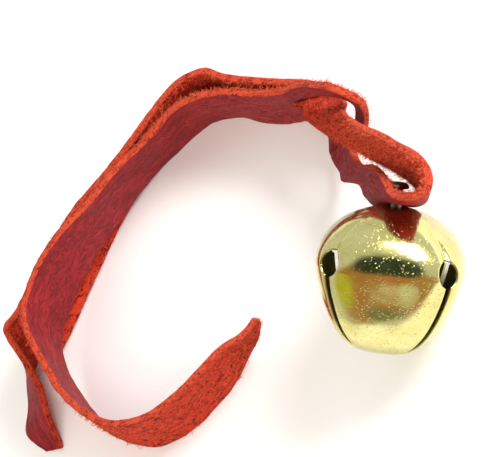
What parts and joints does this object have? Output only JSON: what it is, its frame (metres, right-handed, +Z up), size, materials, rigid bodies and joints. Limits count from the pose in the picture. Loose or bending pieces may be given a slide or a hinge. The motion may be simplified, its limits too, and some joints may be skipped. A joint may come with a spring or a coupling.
{
  "type": "sleigh bell on strap",
  "caption": "Round petal jingle bell riveted to a curled leather strap with a slit through which the strap's other end is pulled, with a loose ball inside the bell.",
  "frame": {"origin": "middle of the base of the whole set, on the surface that it rests on", "axes": "+Z up, +X along the set's longest side from the strap's fold to the bell, +Y from the strap's pointed end to the doubled stretch"},
  "size_m": [0.166, 0.1124, 0.043],
  "materials": {
    "leather": "smooth dark red grain side, fibrous orange-red flesh side and cut edges",
    "brass": "polished pale brass plate with fine pits",
    "steel": "satin"
  },
  "bodies": {
    "strap": {"strap_inner_strand": "leather", "strap_outer_strand": "leather"},
    "inner_tail": {"strap_inner_tail": "leather"},
    "outer_tail": {"strap_outer_tail": "leather"},
    "bell": {"bell_shell": "brass", "rivet_post": "steel", "rivet_cap": "steel"},
    "pea": {"bell_pea": "steel"}
  },
  "joints": [
    {"name": "bell_swivel", "type": "hinge", "parent": "strap", "child": "bell", "pos_m": [0.0598, -0.01795, 0.0201], "axis": [0.2714, 0.8681, 0.4155], "continuous": true},
    {"name": "pea_roll", "type": "hinge", "parent": "bell", "child": "pea", "pos_m": [0.0598, -0.01795, 0.0201], "axis": [0.2714, 0.8681, 0.4155], "continuous": true},
    {"name": "inner_tail_flex", "type": "hinge", "parent": "strap", "child": "inner_tail", "pos_m": [-0.0517, -0.0425, 0.011], "axis": [0, 0, 1], "range_deg": [-12, 12]},
    {"name": "outer_tail_flex", "type": "hinge", "parent": "strap", "child": "outer_tail", "pos_m": [-0.0757, -0.0262, 0.009], "axis": [0, 0, 1], "range_deg": [-10, 10]}
  ]
}
